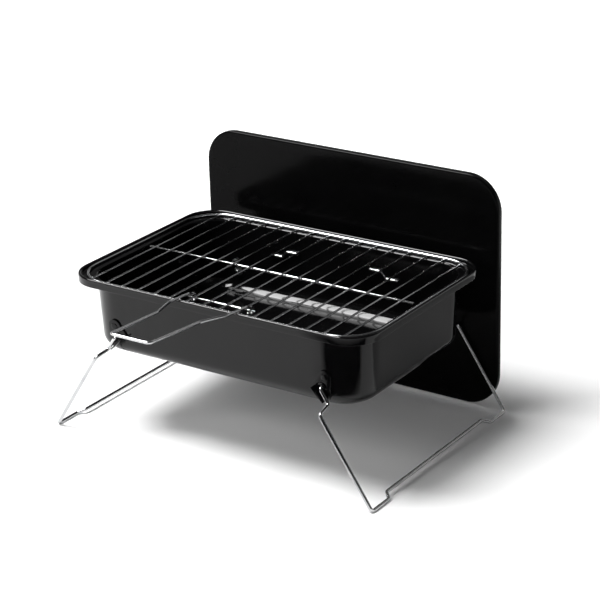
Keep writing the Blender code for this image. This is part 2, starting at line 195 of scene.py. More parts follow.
def bumped(nodes, links, height, distance, below=None):
    """Bump of a given depth, laid over another one if there is one."""
    node = nodes.new("ShaderNodeBump")
    node.inputs["Strength"].default_value = 1.0
    node.inputs["Distance"].default_value = distance
    links.new(height, node.inputs["Height"])
    if below is not None:
        links.new(below, node.inputs["Normal"])
    return node.outputs["Normal"]


def clouded(nodes, links, shader, scale, detail, colour_a, colour_b):
    """Let the base colour drift between two colours."""
    cloud = ranged(nodes, links, noise_node(nodes, links, scale, detail), 0.0, 1.0)
    links.new(mixed(nodes, links, cloud, colour_a, colour_b), shader.inputs["Base Color"])


def dulled(nodes, links, shader, scale, detail, low, high):
    """Let the roughness drift between two values."""
    texture = noise_node(nodes, links, scale, detail)
    links.new(ranged(nodes, links, texture, low, high), shader.inputs["Roughness"])


def enamel(name, index, roughness, ripple, peel, colour, lighter):
    """Fired black enamel: deep gloss, slow ripples in the pressed sheet, fine orange peel."""
    material, nodes, links, shader = new_material(name)
    clouded(nodes, links, shader, 22.0, 3.0, colour, lighter)
    dulled(nodes, links, shader, 65.0, 4.0, *roughness)
    slow = bumped(nodes, links, noise_node(nodes, links, 16.0, 1.0), ripple)
    speck = noise_node(nodes, links, 900.0, 1.0)
    links.new(bumped(nodes, links, speck, peel, below=slow), shader.inputs["Normal"])
    shader.inputs["IOR"].default_value = index
    return material


def chrome(name):
    """Chromed wire with faint drawing marks, dulled by use."""
    material, nodes, links, shader = new_material(name)
    clouded(nodes, links, shader, 60.0, 3.0, (0.42, 0.425, 0.435), (0.54, 0.54, 0.545))
    dulled(nodes, links, shader, 420.0, 3.0, 0.16, 0.25)
    grain = noise_node(nodes, links, 2600.0, 2.0)
    links.new(bumped(nodes, links, grain, 0.000002), shader.inputs["Normal"])
    shader.inputs["Metallic"].default_value = 1.0
    return material


def blacked_steel(name):
    """Black-coated stamping, a little rubbed along its raised parts."""
    material, nodes, links, shader = new_material(name)
    edge = nodes.new("ShaderNodeNewGeometry").outputs["Pointiness"]
    worn = ranged(nodes, links, edge, 0.0, 1.0, start=0.55, end=0.62)
    tone = mixed(nodes, links, worn, (0.0020, 0.0020, 0.0022), (0.012, 0.012, 0.012))
    links.new(tone, shader.inputs["Base Color"])
    dulled(nodes, links, shader, 240.0, 3.0, 0.10, 0.22)
    links.new(bumped(nodes, links, noise_node(nodes, links, 1400.0, 2.0), 0.00001), shader.inputs["Normal"])
    shader.inputs["IOR"].default_value = 1.28
    return material


def zinc(name):
    """Bright zinc plating with soft mottling."""
    material, nodes, links, shader = new_material(name)
    clouded(nodes, links, shader, 350.0, 3.0, (0.50, 0.50, 0.49), (0.63, 0.64, 0.66))
    dulled(nodes, links, shader, 900.0, 2.0, 0.22, 0.40)
    links.new(bumped(nodes, links, noise_node(nodes, links, 2200.0, 2.0), 0.00001), shader.inputs["Normal"])
    shader.inputs["Metallic"].default_value = 1.0
    return material


MATERIALS = {
    "black_enamel": enamel("black_enamel", index=1.32, roughness=(0.06, 0.10), ripple=0.00035,
                           peel=0.0000035, colour=(0.0014, 0.0014, 0.0015), lighter=(0.0030, 0.0030, 0.0032)),
    "lid_enamel": enamel("lid_enamel", index=1.12, roughness=(0.13, 0.17), ripple=0.00010,
                         peel=0.000001, colour=(0.0012, 0.0012, 0.0013), lighter=(0.0020, 0.0020, 0.0021)),
    "chromed_wire": chrome("chromed_wire"),
    "blacked_steel": blacked_steel("blacked_steel"),
    "zinc_steel": zinc("zinc_steel"),
}


# ---------------------------------------------------------------- mesh helpers
def make_piece(name, bm, nodes, body=None, slot=None, smooth_angle=38.0):
    """Turn a bmesh into a piece that stands for CAD nodes, or for nothing, on a body."""
    bmesh.ops.recalc_face_normals(bm, faces=bm.faces)
    mesh = bpy.data.meshes.new(name)
    bm.to_mesh(mesh)
    bm.free()
    mesh.shade_smooth()
    mesh.set_sharp_from_angle(angle=math.radians(smooth_angle))
    slot = slot or SLOT_OF[nodes[0]]
    mesh.materials.append(MATERIALS[slot])
    piece = bpy.data.objects.new(name, mesh)
    bpy.context.scene.collection.objects.link(piece)
    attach(piece, body or BODY_OF[nodes[0]])
    if nodes:
        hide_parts(*nodes)
    return piece


def cut(piece, bm_tool, transform):
    """Cut a hole with a closed tool."""
    bm_tool.transform(transform)
    mesh = bpy.data.meshes.new("cutter")
    bm_tool.to_mesh(mesh)
    bm_tool.free()
    tool = bpy.data.objects.new("cutter", mesh)
    bpy.context.scene.collection.objects.link(tool)
    modifier = piece.modifiers.new("cutter", 'BOOLEAN')
    modifier.operation = 'DIFFERENCE'
    modifier.solver = 'EXACT'
    modifier.object = tool


def apply_cuts(piece):
    """Keep the evaluated mesh and remove the cutters that shaped it."""
    cutters = [modifier.object for modifier in piece.modifiers]
    evaluated = piece.evaluated_get(bpy.context.evaluated_depsgraph_get())
    mesh = bpy.data.meshes.new_from_object(evaluated)
    piece.modifiers.clear()
    piece.data = mesh
    for cutter in cutters:
        bpy.data.objects.remove(cutter)


def on_circle(radius, angle, z=0.0):
    """Point at an angle on a circle about Z."""
    return Vector((radius * math.cos(angle), radius * math.sin(angle), z))


def circle_ring(radius, z, steps):
    """Points spaced evenly on a level circle about Z."""
    return [on_circle(radius, 2.0 * math.pi * k / steps, z) for k in range(steps)]


def rounded_rectangle(half, corner, corner_steps=18, long_steps=72, short_steps=24):
    """Points (x, y) of a rounded rectangle, counterclockwise, with its straight sides divided."""
    points = []
    signs = ((1, 1), (-1, 1), (-1, -1), (1, -1))
    side_steps = (long_steps, short_steps, long_steps, short_steps)
    for quarter, (sx, sy) in enumerate(signs):
        arc = []
        for step in range(corner_steps + 1):
            angle = math.radians(90.0 * (quarter + step / corner_steps))
            arc.append(Vector((sx * (half[0] - corner) + corner * math.cos(angle),
                               sy * (half[1] - corner) + corner * math.sin(angle))))
        points += arc
        next_x, next_y = signs[(quarter + 1) % 4]
        angle = math.radians(90.0 * (quarter + 1))
        goal = Vector((next_x * (half[0] - corner) + corner * math.cos(angle),
                       next_y * (half[1] - corner) + corner * math.sin(angle)))
        points += [arc[-1].lerp(goal, k / side_steps[quarter]) for k in range(1, side_steps[quarter])]
    return points


def skin_rings(rings, closed_loop=False, caps=True, bm=None):
    """Join rings of equal point count into one surface."""
    bm = bm or bmesh.new()
    loops = [[bm.verts.new(point) for point in ring] for ring in rings]
    pairs = list(zip(loops, loops[1:]))
    if closed_loop:
        pairs.append((loops[-1], loops[0]))
    for lower, upper in pairs:
        count = len(lower)
        for i in range(count):
            j = (i + 1) % count
            bm.faces.new((lower[i], lower[j], upper[j], upper[i]))
    if caps and not closed_loop:
        bm.faces.new(loops[0])
        bm.faces.new(loops[-1])
    return bm


def rounded_path(corners, radius, steps=9):
    """Replace every inner corner of a polyline by an arc of the given bend radius."""
    path = [corners[0]]
    for before, corner, after in zip(corners, corners[1:], corners[2:]):
        back = (before - corner).normalized()
        ahead = (after - corner).normalized()
        half_angle = back.angle(ahead) / 2.0
        reach = radius / math.tan(half_angle)
        reach = min(reach, (before - corner).length * 0.45, (after - corner).length * 0.45)
        true_radius = reach * math.tan(half_angle)
        centre = corner + (back + ahead).normalized() * (true_radius / math.sin(half_angle))
        start = corner + back * reach - centre
        sweep = math.pi - 2.0 * half_angle
        axis = start.cross(corner + ahead * reach - centre).normalized()
        for step in range(steps + 1):
            turn = Matrix.Rotation(sweep * step / steps, 3, axis)
            path.append(centre + turn @ start)
    path.append(corners[-1])
    return path


def tube(path, radius, closed=False, sides=20, bm=None):
    """Round wire along a path; open ends are sheared square with a small rounded edge."""
    stations = [(point, 1.0) for point in path]
    if not closed:
        round_over = radius * 0.3
        first = (path[1] - path[0]).normalized()
        last = (path[-2] - path[-1]).normalized()
        rounding = ((0.0, 0.72), (0.3, 0.9), (1.0, 1.0))
        head = [(path[0] + first * round_over * along, width) for along, width in rounding]
        tail = [(path[-1] + last * round_over * along, width) for along, width in reversed(rounding)]
        stations = head + stations[1:-1] + tail
    points = [point for point, _ in stations]
    count = len(points)
    tangents = []
    for i in range(count):
        ahead = points[(i + 1) % count] - points[i] if closed or i < count - 1 else None
        behind = points[i] - points[i - 1] if closed or i > 0 else None
        directions = [d.normalized() for d in (ahead, behind) if d is not None]
        tangents.append(sum(directions, Vector()).normalized())
    normal = Vector((0.0, 0.0, 1.0)) if closed else tangents[0].orthogonal().normalized()
    rings = []
    for i, tangent in enumerate(tangents):
        if i > 0:
            normal = tangents[i - 1].rotation_difference(tangent) @ normal
        normal = (normal - tangent * normal.dot(tangent)).normalized()
        side = tangent.cross(normal)
        ring = []
        for k in range(sides):
            angle = 2.0 * math.pi * (k + 0.5) / sides
            offset = normal * math.cos(angle) + side * math.sin(angle)
            ring.append(points[i] + offset * radius * stations[i][1])
        rings.append(ring)
    return skin_rings(rings, closed_loop=closed, bm=bm)


def turned(profile, steps=40, closed_loop=False):
    """Solid of revolution about Z from (radius, z) pairs."""
    rings = [circle_ring(radius, z, steps) for radius, z in profile]
    return skin_rings(rings, closed_loop=closed_loop, caps=not closed_loop)


def profile_arc(centre, radius, start, end, steps):
    """Points (inset, height) on an arc; 0 degrees points outward and 90 degrees up."""
    points = []
    for step in range(steps + 1):
        angle = math.radians(start + (end - start) * step / steps)
        points.append((centre[0] - radius * math.cos(angle), centre[1] + radius * math.sin(angle)))
    return points


def eased(value):
    """Smooth step from 0 to 1."""
    value = min(max(value, 0.0), 1.0)
    return value * value * (3.0 - 2.0 * value)


# ---------------------------------------------------------------- fire bowl
def wall_inset(z):
    """How far the outside of the drafted wall lies inside the rim at height z."""
    return WALL_INSET + WALL_DRAFT * (SKIRT_Z - z)


def wall_plane_y(z):
    """Distance from the centre plane to the outside of the long wall at height z."""
    return RIM_HALF[1] - wall_inset(z)


def corner_at(inset):
    """Corner radius of the bowl's outline at an inset from the rim's outside."""
    rim = RIM_CORNER - inset
    wall = WALL_CORNER - (inset - WALL_INSET)
    weight = eased((inset - 0.0043) / 0.0060)
    return max(rim + (wall - rim) * weight, 0.0015)


def bowl_profile():
    """Cross-section of the pressed sheet: outside upward, over the rim, down the inside."""
    lean = math.degrees(math.atan(WALL_DRAFT))
    fillet_z = BOWL_BOTTOM_Z + BOWL_FILLET
    fillet = (wall_inset(fillet_z) + BOWL_FILLET * math.hypot(1.0, WALL_DRAFT), fillet_z)
    under_ledge = LEDGE_Z - SHEET
    crest = (CREST_WIDTH / 2.0, CREST_Z - CREST_WIDTH / 2.0)
    points = profile_arc(fillet, BOWL_FILLET, -90.0, -lean, 16)
    wall_top = under_ledge - SHEET
    wall_base = points[-1][1]
    levels = [wall_base + (wall_top - wall_base) * k / 14.0 for k in range(1, 14)]
    points += [(wall_inset(z), z) for z in levels]
    points += profile_arc((wall_inset(wall_top) - SHEET, wall_top), SHEET, 180.0, 90.0, 5)
    points += profile_arc((CREST_WIDTH, LEDGE_Z), SHEET, -90.0, 0.0, 5)
    points += profile_arc(crest, crest[0] - SHEET, 180.0, 0.0, 8)
    points += profile_arc((SHEET / 2.0, SKIRT_Z + SHEET / 2.0), SHEET / 2.0, 180.0, 360.0, 8)
    points += profile_arc(crest, crest[0], 0.0, 180.0, 14)
    points += profile_arc((CREST_WIDTH + SHEET, LEDGE_Z + SHEET), SHEET, 0.0, -90.0, 6)
    inner_top = wall_inset(LEDGE_Z) + SHEET
    brow = 2.0 * SHEET
    shelf = (CREST_WIDTH + SHEET, inner_top - brow)
    points += [(shelf[0] + (shelf[1] - shelf[0]) * k / 4.0, LEDGE_Z) for k in range(1, 4)]
    points += profile_arc((inner_top - brow, LEDGE_Z - brow), brow, 90.0, 180.0 - lean, 7)
    points += [(wall_inset(z) + SHEET, z) for z in reversed(levels)]
    points += profile_arc(fillet, BOWL_FILLET - SHEET, -lean, -90.0, 16)
    return points


def sheet_waver(point):
    """Slow unevenness of the pressed walls and floor, none at the rim, and a dent at each screw."""
    below_rim = eased((SKIRT_Z - point.z) / 0.012)
    drift = noise.noise_vector(point * 13.0) * 0.00016 + noise.noise_vector(point * 34.0) * 0.00005
    moved = drift * below_rim
    fold = eased((abs(point.x) - 0.070) / 0.030) * eased((0.150 - abs(point.x)) / 0.020) * below_rim
    folds = noise.noise(Vector((point.x * 95.0, math.copysign(4.0, point.y - CENTRE_Y), point.z * 17.0)))
    if abs(point.y - CENTRE_Y) > 0.095:
        moved += Vector((0.0, folds * 0.00016 * fold, 0.0))
    for side_x, side_y in CORNERS:
        seat = Vector((side_x * LOBE[0], CENTRE_Y + side_y * wall_plane_y(LOBE[1]), LOBE[1]))
        away = (point - seat).length / 0.011
        moved += Vector((0.0, -side_y * 0.00030 * math.exp(-away * away), 0.0))
    return moved


def bowl_loops():
    """Closed rings of the whole sheet, from the middle of its underside round to the middle of its floor."""
    profile = bowl_profile()
    rings = []
    floor_outer = [(profile[0][0] + step, BOWL_BOTTOM_Z) for step in floor_steps(profile[0][0])]
    floor_inner = [(profile[-1][0] + step, BOWL_BOTTOM_Z + SHEET) for step in floor_steps(profile[-1][0])]
    for inset, z in list(reversed(floor_outer)) + profile + floor_inner:
        outline = rounded_rectangle((RIM_HALF[0] - inset, RIM_HALF[1] - inset), corner_at(inset))
        rings.append([Vector((p.x, p.y + CENTRE_Y, z)) for p in outline])
    return [[p + sheet_waver(p) for p in ring] for ring in rings]


def floor_steps(start):
    """Insets of the rings that fill the flat bottom, nearly to its middle."""
    room = RIM_HALF[1] - start - 0.004
    return [room * k / 9.0 for k in range(1, 10)]


def make_bowl():
    """The pressed bowl with a hole for each screw and hinge pin."""
    noise.seed_set(WAVER_SEED)
    bowl = make_piece("bowl_shell", skin_rings(bowl_loops()), ["fire_bowl"], smooth_angle=50.0)
    for side_x, side_y in CORNERS:
        outward = Matrix.Rotation(-side_y * math.pi / 2.0, 4, 'X')
        for (x, z), radius in ((LOBE, SCREW_R), (LEG_PIVOT, LEG_WIRE_R)):
            drill = turned([(radius + HOLE_CLEARANCE, 0.0), (radius + HOLE_CLEARANCE, 0.020)], steps=32)
            cut(bowl, drill, Matrix.Translation((side_x * x, CENTRE_Y + side_y * 0.095, z)) @ outward)
    apply_cuts(bowl)


# ---------------------------------------------------------------- grate
def weld_bead(bm, centre, size, seed):
    """A small uneven nugget where two wires are welded."""
    rings = []
    for k in range(1, 8):
        polar = math.pi * k / 8.0
        ring = []
        for j in range(12):
            angle = 2.0 * math.pi * j / 12.0
            shape = on_circle(math.sin(polar), angle, math.cos(polar))
            swell = 1.0 + 0.16 * noise.noise(shape * 1.7 + Vector((seed * 3.1, 0.0, 0.0)))
            ring.append(centre + Vector((shape.x * size[0], shape.y * size[1], shape.z * size[2])) * swell)
        rings.append(ring)
    skin_rings(rings, bm=bm)


def make_grate():
    """Outer wire, bars and rods, with their weld beads as one piece of its own."""
    half = (RIM_HALF[0] - FRAME_INSET, RIM_HALF[1] - FRAME_INSET)
    outline = rounded_rectangle(half, FRAME_CORNER, corner_steps=18, long_steps=10, short_steps=8)
    path = [Vector((p.x, p.y + CENTRE_Y, FRAME_Z)) for p in outline]
    make_piece("grate_outer_wire", tube(path, FRAME_WIRE_R, closed=True), ["grate_frame"])
    beads = bmesh.new()
    bar_xs = []
    for index in range(BAR_COUNT):
        node = f"grate_bar_{index + 1:02d}"
        low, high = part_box(node)
        middle = (low + high) / 2.0
        bar_xs.append(middle.x)
        ends = [Vector((middle.x, low.y, middle.z)), Vector((middle.x, high.y, middle.z))]
        make_piece(f"bar_{index + 1:02d}", tube(ends, BAR_R), [node])
        for side, y in ((1, high.y), (-1, low.y)):
            spot = Vector((middle.x, y + side * 0.0002, middle.z))
            weld_bead(beads, spot, (0.00125, 0.0011, 0.00105), index * 2 + side)
    for name, node in (("cross_rod", "grate_cross_rod"), ("handle_rod", "handle_pivot_rod")):
        low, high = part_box(node)
        middle = (low + high) / 2.0
        ends = [Vector((low.x, middle.y, middle.z)), Vector((high.x, middle.y, middle.z))]
        make_piece(name, tube(ends, ROD_R), [node])
        for index, x in enumerate(bar_xs):
            if low.x < x < high.x:
                join_z = middle.z + ROD_R + GAP / 2.0
                weld_bead(beads, Vector((x, middle.y, join_z)), (0.0009, 0.0010, 0.00055), 50 + index)
    make_piece("grate_welds", beads, [], body="grate", slot="chromed_wire", smooth_angle=80.0)


def eye_points(side):
    """Nearly three quarters of a turn round the pivot rod, ending at the top of the eye."""
    points = []
    for step in range(27):
        angle = math.radians(-170.0 + 260.0 * step / 26.0)
        points.append(Vector((side * HANDLE_ROOT_HALF, HANDLE_EYE_R * math.cos(angle),
                              HANDLE_EYE_R * math.sin(angle))))
    return points


def make_handle():
    """U of wire, open towards the grate, with an eye round the pivot rod at each end."""
    half_path = [Vector((HANDLE_ROOT_HALF, 0.0, HANDLE_EYE_R)),
                 Vector((HANDLE_ROOT_HALF, -HANDLE_STEP[0], HANDLE_EYE_R)),
                 Vector((HANDLE_ROOT_HALF, -HANDLE_STEP[1], HANDLE_OFFSET)),
                 Vector((HANDLE_ROOT_HALF, -HANDLE_SHOULDER, HANDLE_OFFSET)),
                 Vector((HANDLE_NECK_HALF, -HANDLE_NECK, HANDLE_OFFSET)),
                 Vector((HANDLE_GRIP_HALF, -HANDLE_LENGTH, HANDLE_OFFSET))]
    mirrored = [Vector((-p.x, p.y, p.z)) for p in reversed(half_path)]
    bends = rounded_path(half_path + mirrored, 0.0045)
    path = eye_points(1)[:-1] + bends + eye_points(-1)[-2::-1]
    turn = Matrix.Translation(HANDLE_PIVOT) @ Matrix.Rotation(-HANDLE_RISE, 4, 'X')
    make_piece("lifting_handle", tube([turn @ p for p in path], HANDLE_WIRE_R), ["handle"])


# ---------------------------------------------------------------- legs
def make_leg(side, node):
    """U of wire with its hinge pins turned inward; side is +1 for the right leg."""
    down = Vector((LEG_FOOT_X - LEG_PIVOT[0], 0.0, LEG_WIRE_R - LEG_PIVOT[1]))
    step_start = down.normalized() * LEG_STEP[0]
    step_end = down.normalized() * LEG_STEP[1]
    lift = Vector((FOOT_LIFT[0], 0.0, FOOT_LIFT[1]))
    kink_y = -LEG_OUTER_Y + FOOT_LENGTH
    half_path = [Vector((0.0, -LEG_PIN_Y, 0.0)),
                 Vector((0.0, -LEG_INNER_Y, 0.0)),
                 step_start + Vector((0.0, -LEG_INNER_Y, 0.0)),
                 step_end + Vector((0.0, -LEG_OUTER_Y, 0.0)),
                 down + Vector((0.0, -LEG_OUTER_Y, 0.0)),
                 down + Vector((0.0, kink_y, 0.0)),
                 down + Vector((0.0, kink_y + FOOT_KINK, 0.0)) + lift]
    mirrored = [Vector((p.x, -p.y, p.z)) for p in reversed(half_path)]
    path = rounded_path(half_path + mirrored, LEG_BEND)
    place = Vector((side * LEG_PIVOT[0], CENTRE_Y, LEG_PIVOT[1]))
    path = [place + Vector((side * p.x, p.y, p.z)) for p in path]
    make_piece(f"{node}_wire", tube(path, LEG_WIRE_R, sides=24), [node])


# ---------------------------------------------------------------- brackets and fasteners
def seat_transform(side_y):
    """From a bracket drawn on y = 0, outside towards -y, to its seat on the leaning wall."""
    lean = Matrix.Translation((0.0, 0.0, LOBE[1])) @ Matrix.Rotation(math.atan(WALL_DRAFT), 4, 'X')
    lean = lean @ Matrix.Translation((0.0, 0.0, -LOBE[1]))
    if side_y > 0:
        lean = Matrix.Scale(-1.0, 4, (0.0, 1.0, 0.0)) @ lean
    return Matrix.Translation((0.0, CENTRE_Y + side_y * (wall_plane_y(LOBE[1]) + GAP), 0.0)) @ lean


def bracket_bmesh(side_x):
    """Plate with a bent-out stop: one sheet with a real bend and softened edges."""
    along = Vector((FLANGE_FOOT[0] - FLANGE_TOP[0], 0.0, FLANGE_FOOT[1] - FLANGE_TOP[1])).normalized()
    inward = Vector((-along.z, 0.0, along.x))
    setback = FLANGE_BEND + PLATE
    top = Vector((FLANGE_TOP[0], 0.0, FLANGE_TOP[1])) + inward * setback
    foot = Vector((FLANGE_FOOT[0], 0.0, FLANGE_FOOT[1])) + inward * setback
    outline = [Vector((BRACKET_TOE[0], 0.0, BRACKET_TOE[1]))]
    for step in range(25):
        angle = math.radians(-10.0 + 165.0 * step / 24.0)
        outline.append(Vector((LOBE[0] + LOBE_R * math.cos(angle), 0.0, LOBE[1] + LOBE_R * math.sin(angle))))
    outline += [Vector((BRACKET_SHOULDER[0], 0.0, BRACKET_SHOULDER[1])), top, foot]
    bm = bmesh.new()
    out = Vector((0.0, -PLATE, 0.0))
    back = [bm.verts.new(p) for p in outline]
    front = [bm.verts.new(p + out) for p in outline]
    count = len(outline)
    bm.faces.new(back)
    bm.faces.new(front)
    for i in range(count):
        j = (i + 1) % count
        if (i, j) != (count - 2, count - 1):
            bm.faces.new((back[i], back[j], front[j], front[i]))
    section = [back[count - 2], back[count - 1], front[count - 1], front[count - 2]]
    bend_steps = 6
    hinge = Vector((0.0, -(PLATE + FLANGE_BEND), 0.0))
    straight = FLANGE_DEPTH - setback
    for step in range(1, bend_steps + 2):
        angle = math.pi / 2.0 * min(step, bend_steps) / bend_steps
        reach = straight if step > bend_steps else 0.0
        ring = []
        for base, depth in ((top, setback), (foot, setback), (foot, FLANGE_BEND), (top, FLANGE_BEND)):
            shift = -inward * (depth * math.sin(angle)) + Vector((0.0, depth * math.cos(angle), 0.0))
            ring.append(bm.verts.new(base + hinge + shift + Vector((0.0, -reach, 0.0))))
        for i in range(4):
            j = (i + 1) % 4
            bm.faces.new((section[i], section[j], ring[j], ring[i]))
        section = ring
    bm.faces.new(section)
    bmesh.ops.recalc_face_normals(bm, faces=bm.faces)
    sharp = [e for e in bm.edges if e.is_manifold and e.calc_face_angle() > math.radians(50.0)]
    bmesh.ops.bevel(bm, geom=sharp, offset=0.00022, segments=2, affect='EDGES', profile=0.5)
    if side_x < 0:
        bm.transform(Matrix.Scale(-1.0, 4, (1.0, 0.0, 0.0)))
    return bm


def collar_profile(hole):
    """Drawn collar round the pin, from the plate's face outward and down its bore."""
    return [(COLLAR_R + 0.0005, 0.0), (COLLAR_R + 0.00012, 0.00014), (COLLAR_R, 0.0005),
            (COLLAR_R, COLLAR_HEIGHT - 0.0003), (COLLAR_R - 0.0001, COLLAR_HEIGHT - 0.0001),
            (COLLAR_R - 0.0003, COLLAR_HEIGHT), (hole + 0.0003, COLLAR_HEIGHT),
            (hole, COLLAR_HEIGHT - 0.0003), (hole, -PLATE * 0.9), (COLLAR_R + 0.0005, -PLATE * 0.9)]


def screw_profile(wall_depth):
    """Screw from the end of its shank, through its thread, to the top of its domed head."""
    shank_start = -(wall_depth + NUT_HEIGHT + 0.0015)
    profile = [(SCREW_R * 0.7, shank_start), (SCREW_R * 0.95, shank_start + 0.0004)]
    pitch = 0.0007
    turns = int((NUT_HEIGHT + 0.0010) / pitch)
    for k in range(turns):
        z = shank_start + 0.0005 + k * pitch
        profile += [(SCREW_R, z), (SCREW_R, z + pitch * 0.25), (SCREW_R * 0.86, z + pitch * 0.6)]
    head_seat = PLATE + GAP * 0.2
    edge_z = head_seat + 0.00015
    dome = HEAD_HEIGHT - 0.0001
    profile += [(SCREW_R, -wall_depth), (SCREW_R, head_seat), (HEAD_R - 0.0001, head_seat), (HEAD_R, edge_z)]
    for step in range(1, 9):
        angle = math.radians(90.0 * step / 9.0)
        profile.append((HEAD_R * math.cos(angle) ** 0.55, edge_z + dome * math.sin(angle)))
    return profile


def make_corner(side_x, side_y, label):
    """Bracket, its screw and nut, and the push-on retainer of the hinge pin."""
    seat = seat_transform(side_y)
    outward = Matrix.Rotation(math.pi / 2.0, 4, 'X')
    to_pin = seat @ Matrix.Translation((side_x * LEG_PIVOT[0], 0.0, LEG_PIVOT[1])) @ outward
    to_head = seat @ Matrix.Translation((side_x * LOBE[0], 0.0, LOBE[1])) @ outward

    plate_bm = bracket_bmesh(side_x)
    plate_bm.transform(seat)
    plate = make_piece(f"leg_bracket_{label}", plate_bm, [f"bracket_{label}"])
    hole = LEG_WIRE_R + HOLE_CLEARANCE
    cut(plate, turned([(COLLAR_R + 0.0003, -0.004), (COLLAR_R + 0.0003, 0.004)]), to_pin)
    cut(plate, turned([(SCREW_R + HOLE_CLEARANCE, -0.004), (SCREW_R + HOLE_CLEARANCE, 0.004)]), to_head)
    apply_cuts(plate)
    collar_bm = turned(collar_profile(hole), closed_loop=True)
    collar_bm.transform(to_pin @ Matrix.Translation((0.0, 0.0, PLATE)))
    make_piece(f"pin_collar_{label}", collar_bm, [], body="tray", slot="blacked_steel")

    wall_depth = GAP + SHEET
    screw_bm = turned(screw_profile(wall_depth))
    screw_bm.transform(to_head)
    make_piece(f"bracket_screw_{label}", screw_bm, [f"screw_{label}"])
    make_nut(label, to_head @ Matrix.Translation((0.0, 0.0, -(wall_depth + NUT_GAP + NUT_HEIGHT))))
    make_retainer(side_y, label)


def make_nut(label, transform):
    """Hexagon nut with chamfered corners, cut from its hexagon by a turned shape."""
    steps = 48
    bore = SCREW_R + 0.0001
    rings = []
    chamfer = 0.0004
    for z, shrink in ((0.0, chamfer), (chamfer, 0.0), (NUT_HEIGHT - chamfer, 0.0), (NUT_HEIGHT, chamfer)):
        ring = []
        for k in range(steps):
            angle = 2.0 * math.pi * k / steps
            across = math.cos(math.pi / 6.0) / math.cos((angle % (math.pi / 3.0)) - math.pi / 6.0)
            radius = min(NUT_R * across, NUT_R * 1.01 - shrink)
            ring.append(on_circle(radius, angle, z))
        rings.append(ring)
    lip = 0.0003
    for z, radius in ((NUT_HEIGHT, bore + lip), (NUT_HEIGHT - lip, bore), (lip, bore), (0.0, bore + lip)):
        rings.append(circle_ring(radius, z, steps))
    bm = skin_rings(rings, closed_loop=True)
    bm.transform(transform)
    make_piece(f"hex_nut_{label}", bm, [f"nut_{label}"], smooth_angle=25.0)


def make_retainer(side_y, label):
    """Dished push-on washer whose slotted inner edge bites on the pin."""
    node = f"pin_retainer_{label}"
    low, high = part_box(node)
    middle = (low + high) / 2.0
    steps = 60
    teeth = 5
    hole = LEG_WIRE_R + 0.0001
    rings = []
    half = RETAINER_THICK / 2.0
    for face in (1, -1):
        order = [(0.0, half * 0.9), (1.0, -half * 0.5)] if face > 0 else [(1.0, -half), (0.0, half * 0.1)]
        for outward, lift in order:
            ring = []
            for k in range(steps):
                angle = 2.0 * math.pi * k / steps
                slot_depth = 0.0011 if (k * teeth) % steps < teeth else 0.0
                inner = hole + slot_depth
                radius = inner + (RETAINER_R - inner) * outward
                ring.append(on_circle(radius, angle, lift))
            rings.append(ring)
    bm = skin_rings(rings, closed_loop=True)
    bm.transform(Matrix.Translation(middle) @ Matrix.Rotation(side_y * math.pi / 2.0, 4, 'X'))
    make_piece(f"push_nut_{label}", bm, [node], smooth_angle=30.0)


def make_clip(side, label):
    """Stepped wire clip lying on the inside of the back wall."""
    stand_off = SHEET + GAP + CLIP_CLEARANCE + CLIP_R
    corners = [Vector((side * x, CENTRE_Y + wall_plane_y(z) - stand_off, z)) for x, z in CLIP_LINE]
    make_piece(f"wire_clip_{label}", tube(rounded_path(corners, CLIP_BEND), CLIP_R), [f"back_clip_{label}"])


# ---------------------------------------------------------------- lid
def lid_profile():
    """Section of the lid's pan: (inset, depth), from its outer face round the edge to its inner face."""
    hem = SHEET / 2.0
    points = profile_arc((LID_EDGE, LID_EDGE), LID_EDGE, -90.0, 0.0, 10)
    points += profile_arc((hem, LID_DEPTH - hem), hem, 0.0, 180.0, 6)
    points += profile_arc((LID_EDGE, LID_EDGE), LID_EDGE - SHEET, 0.0, -90.0, 6)
    return points


def make_lid():
    """Shallow pan on its long edge: outer face to the front, hollow to the back."""
    profile = lid_profile()
    middle = LID_HALF[1] - 0.004
    fill = [profile[0][0] + (middle - profile[0][0]) * k / 12.0 for k in range(12, 0, -1)]
    section = [(inset, 0.0) for inset in fill] + profile + [(inset, SHEET) for inset in reversed(fill)]
    turn = Matrix.Translation((*LID_PLACE, LID_FOOT_Z)) @ Matrix.Rotation(LID_YAW, 4, 'Z')
    rings = []
    for inset, depth in section:
        corner = max(LID_CORNER - inset, 0.002)
        outline = rounded_rectangle((LID_HALF[0] - inset, LID_HALF[1] - inset), corner, corner_steps=18)
        ring = []
        for p in outline:
            flat = eased((inset - LID_EDGE) / 0.012)
            waver = 0.00022 * noise.noise(Vector((p.x * 9.0, 3.7, p.y * 9.0))) * flat
            ring.append(turn @ Vector((p.x, depth + max(waver, -0.00005), p.y + LID_HALF[1])))
        rings.append(ring)
    make_piece("lid_pan", skin_rings(rings), ["lid"], smooth_angle=50.0)


# ---------------------------------------------------------------- studio
LIGHT_TARGET = Vector((0.02, CENTRE_Y, 0.10))

# Name, size, direction and distance from the target, watts, lights matt surfaces, is seen mirrored.
SOFT_BOXES = (
    ("key", (1.00, 1.50), (-0.385, -0.20, 1.00), 2.83, 117.0, True, False),
    ("key_mirrored", (2.00, 1.45), (-0.56, -0.20, 1.00), 2.83, 245.0, False, True),
    ("front_fill", (0.24, 0.46), (-0.526, -0.726, 0.45), 1.20, 5.2, True, False),
    ("back_strip", (1.30, 0.62), (0.12, 0.766, 0.63), 1.80, 1.0, False, True),
)

# Ends (x, y from the bowl's middle) of the upright card that blackens the bowl's near corner.
CORNER_FLAG_ENDS = ((0.036, -0.217), (0.344, -0.117))
CORNER_FLAG_HEIGHT = 0.16


